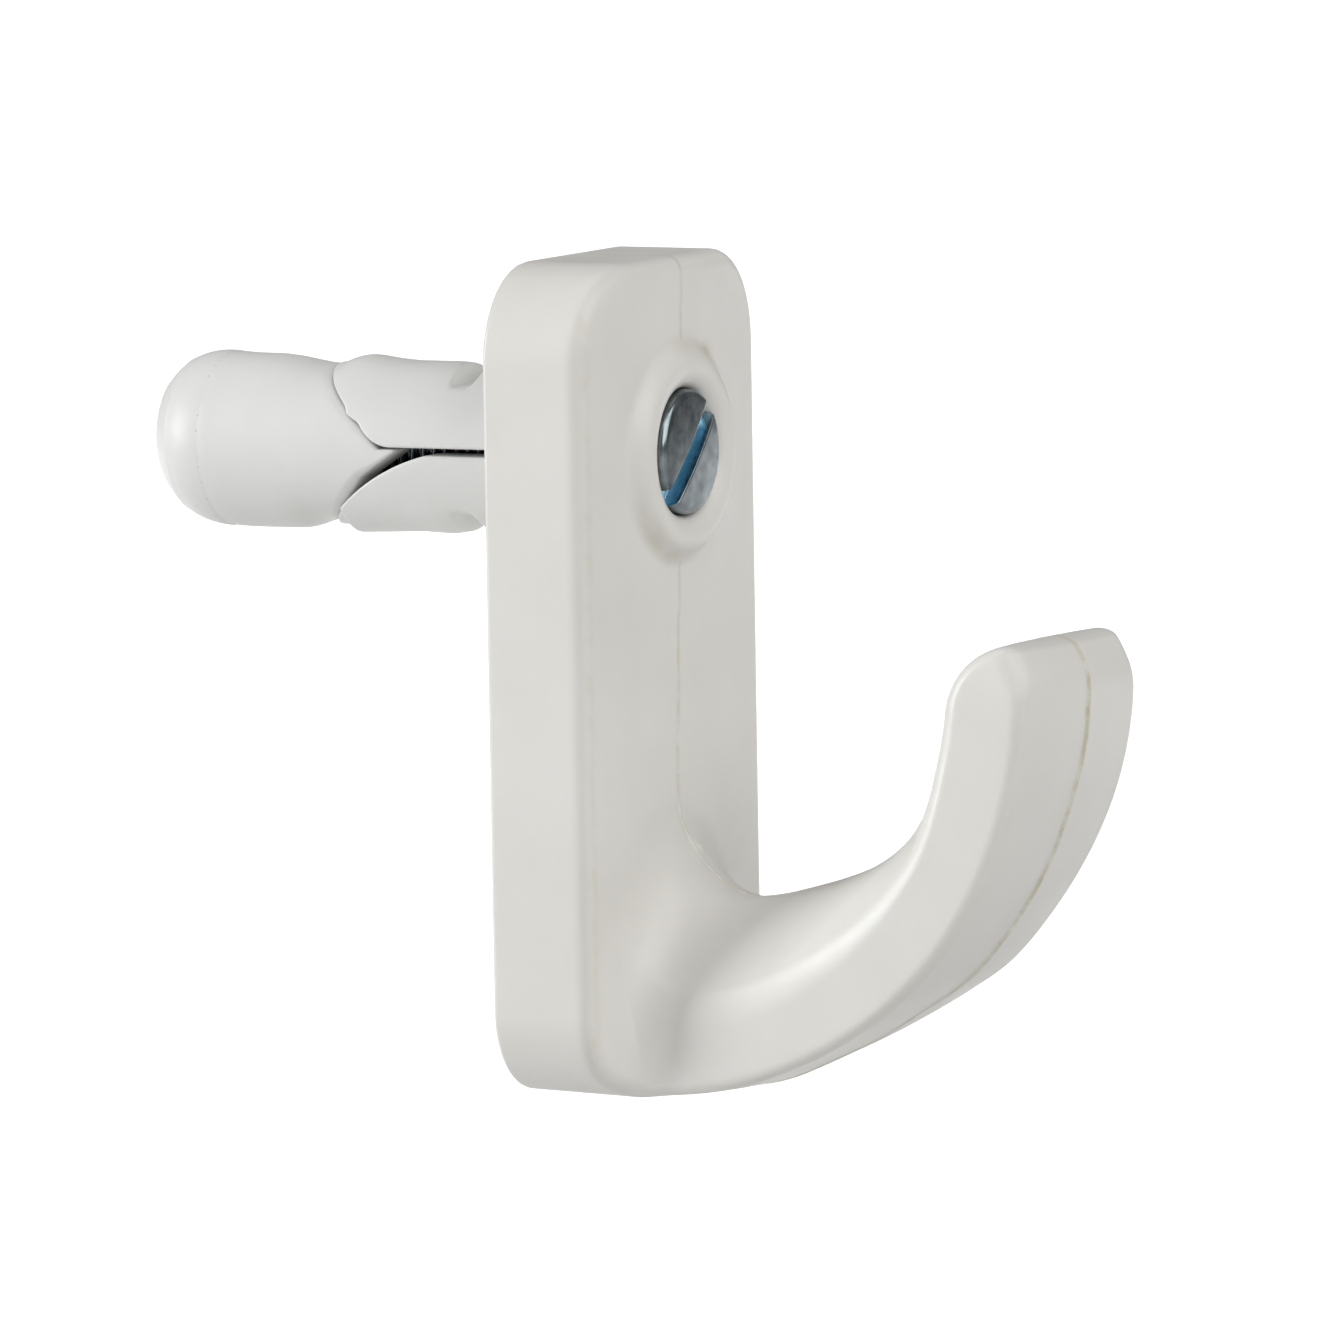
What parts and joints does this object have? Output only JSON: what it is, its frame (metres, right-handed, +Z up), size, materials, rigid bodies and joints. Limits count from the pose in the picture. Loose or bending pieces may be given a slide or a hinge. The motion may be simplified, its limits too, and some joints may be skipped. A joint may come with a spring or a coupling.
{
  "type": "wall hook with expansion plug",
  "caption": "Moulded plastic J-hook on a rounded back plate, held by its own split expansion plug, which a slotted front screw spreads with a domed wedge in the wall.",
  "frame": {"origin": "where the screw and plug axis crosses the wall's surface, in the plane of the plate's back face", "axes": "+Y along the plug into the wall, -Y out into the room, +Z up, +X to the right for somebody facing the hook"},
  "size_m": [0.0216, 0.0571, 0.0464],
  "materials": {
    "moulding": "satin, warm white nylon",
    "plug_plastic": "satin, white nylon",
    "zinc_steel": "bright blue zinc plate",
    "nut_steel": "zinc plate"
  },
  "bodies": {
    "hook": {"hook_body": "moulding"},
    "screw": {"clamp_screw": "zinc_steel"},
    "expander": {"expander_plug": "plug_plastic", "captive_nut": "nut_steel"},
    "upper_leg": {"upper_expansion_leg": "moulding"},
    "lower_leg": {"lower_expansion_leg": "moulding"}
  },
  "joints": [
    {"name": "screw_turn", "type": "hinge", "parent": "hook", "child": "screw", "pos_m": [0, 0, 0], "axis": [0, 1, 0], "range_deg": [0, 720]},
    {"name": "expander_draw", "type": "slide", "parent": "hook", "child": "expander", "axis": [0, -1, 0], "range_m": [0, 0.0014]},
    {"name": "upper_leg_flex", "type": "hinge", "parent": "hook", "child": "upper_leg", "pos_m": [0, 0.00175, 0.0033], "axis": [1, 0, 0], "range_deg": [0, 9]},
    {"name": "lower_leg_flex", "type": "hinge", "parent": "hook", "child": "lower_leg", "pos_m": [0, 0.00175, -0.0033], "axis": [-1, 0, 0], "range_deg": [0, 9]}
  ],
  "couplings": [
    {"joint": "screw_turn", "follows": "expander_draw", "rad_per_m": 8975.9},
    {"joint": "upper_leg_flex", "follows": "expander_draw", "rad_per_m": 111.3},
    {"joint": "lower_leg_flex", "follows": "expander_draw", "rad_per_m": 111.3}
  ]
}
